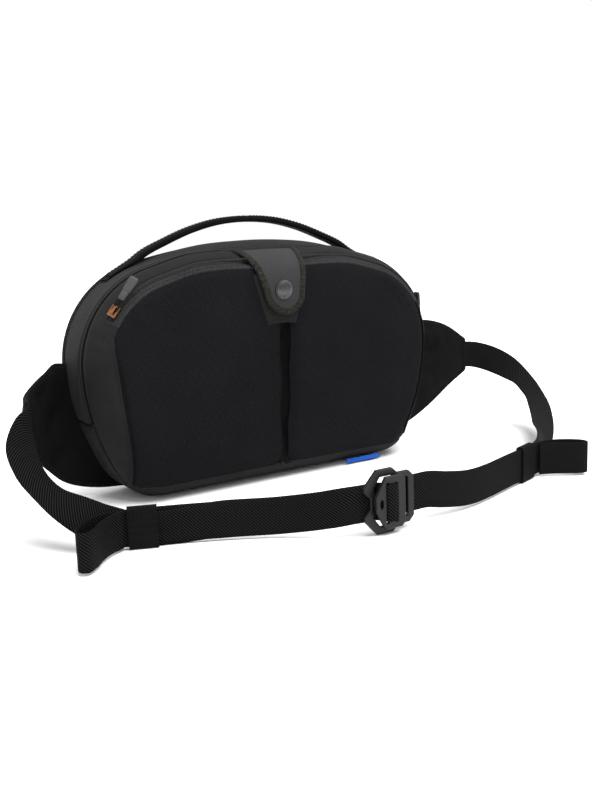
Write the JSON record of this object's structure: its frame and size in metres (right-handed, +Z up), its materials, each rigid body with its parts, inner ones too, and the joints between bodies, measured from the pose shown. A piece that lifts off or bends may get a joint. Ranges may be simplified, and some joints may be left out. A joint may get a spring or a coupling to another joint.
{
  "type": "hip pack",
  "caption": "Hip pack with a zipped main compartment, mesh front pocket, snap tab, grab handle and a webbing belt with a hook-through buckle.",
  "frame": {"origin": "on the bottom of the bag, under its middle, in the plane that it stands on", "axes": "+X across the bag, the front faces -Y, +Z up"},
  "size_m": [0.5169, 0.23, 0.209],
  "materials": {
    "nylon": "smooth woven nylon, slight sheen",
    "mesh": "fine patterned weave",
    "binding": "felt-like binding",
    "padding": "spacer mesh over foam",
    "webbing": "twill webbing",
    "zip_tape": "woven tape",
    "zip_coil": "nylon coil",
    "plastic": "moulded, satin",
    "slider_metal": "satin black",
    "steel": "satin",
    "copper": "copper coloured",
    "rubber": "moulded grip",
    "label_blue": "plain woven label"
  },
  "bodies": {
    "bag": {"back_panel": "nylon", "back_pads": "padding", "rear_binding": "binding", "gusset_upper": "nylon", "gusset_lower": "nylon", "main_zip_tape_rear": "zip_tape", "main_zip_coil": "zip_coil", "slip_pocket": "nylon", "boxing_lower": "nylon", "divider_lower": "nylon", "mesh_lower": "mesh", "pleat_lower": "nylon", "label": "label_blue", "handle_ends": "binding", "handle_anchors": "nylon", "wing_left": "nylon", "wing_right": "nylon", "webbing_left": "webbing", "webbing_right": "webbing", "tail_left": "webbing", "tail_right": "webbing", "buckle_ring": "plastic"},
    "front_panel": {"main_zip_tape_front": "zip_tape", "boxing_upper": "nylon", "pocket_zip_tape": "zip_tape", "pocket_zip_coil": "zip_coil", "divider_upper": "nylon", "mesh_left": "mesh", "mesh_right": "mesh", "centre_pleat": "nylon", "snap_patch": "nylon", "snap_stud": "steel"},
    "tab": {"tab_core": "nylon", "tab_binding": "binding", "snap_cap": "steel", "snap_socket": "steel"},
    "handle": {"handle": "binding"},
    "pocket_slider": {"pocket_slider": "slider_metal"},
    "pocket_pull": {"pocket_pull_link": "copper", "pocket_pull_grip": "rubber"},
    "main_slider": {"main_slider": "slider_metal"},
    "main_pull": {"main_pull_link": "copper", "main_pull_grip": "rubber"},
    "keeper_left": {"keeper_left": "webbing"},
    "keeper_right": {"keeper_right": "webbing"},
    "toggle": {"buckle_toggle": "plastic", "toggle_loop": "webbing"}
  },
  "joints": [
    {"name": "front_fold", "type": "hinge", "parent": "bag", "child": "front_panel", "pos_m": [0, -0.0331, 0.061], "axis": [1, 0, 0], "range_deg": [0, 32]},
    {"name": "tab_lift", "type": "hinge", "parent": "front_panel", "child": "tab", "pos_m": [0, -0.0115, 0.1884], "axis": [-1, 0, 0], "range_deg": [0, 115]},
    {"name": "handle_swing", "type": "hinge", "parent": "bag", "child": "handle", "pos_m": [0, 0.021, 0.1756], "axis": [1, 0, 0], "range_deg": [-60, 30]},
    {"name": "pocket_zip_travel", "type": "hinge", "parent": "front_panel", "child": "pocket_slider", "pos_m": [-0.0795, -0.026, 0.101], "axis": [0, 1, 0], "range_deg": [0, 34]},
    {"name": "pocket_pull_lift", "type": "hinge", "parent": "pocket_slider", "child": "pocket_pull", "pos_m": [-0.13357, -0.0282, 0.14594], "axis": [0.565, -0.6866, -0.4575], "range_deg": [0, 140]},
    {"name": "main_zip_travel", "type": "hinge", "parent": "bag", "child": "main_slider", "pos_m": [0.0795, -0.0066, 0.101], "axis": [0, -1, 0], "range_deg": [0, 60]},
    {"name": "main_pull_lift", "type": "hinge", "parent": "main_slider", "child": "main_pull", "pos_m": [0.15743, -0.0066, 0.11009], "axis": [0, 1, 0], "range_deg": [0, 140]},
    {"name": "keeper_left_slide", "type": "slide", "parent": "bag", "child": "keeper_left", "axis": [0.9315, -0.3639, 0], "range_m": [0, 0.045]},
    {"name": "keeper_right_slide", "type": "slide", "parent": "bag", "child": "keeper_right", "axis": [-0.9508, -0.3097, 0], "range_m": [0, 0.045]},
    {"name": "toggle_swing", "type": "hinge", "parent": "bag", "child": "toggle", "pos_m": [-0.028, -0.1867, 0.0215], "axis": [0, 0, -1], "range_deg": [0, 50]}
  ]
}
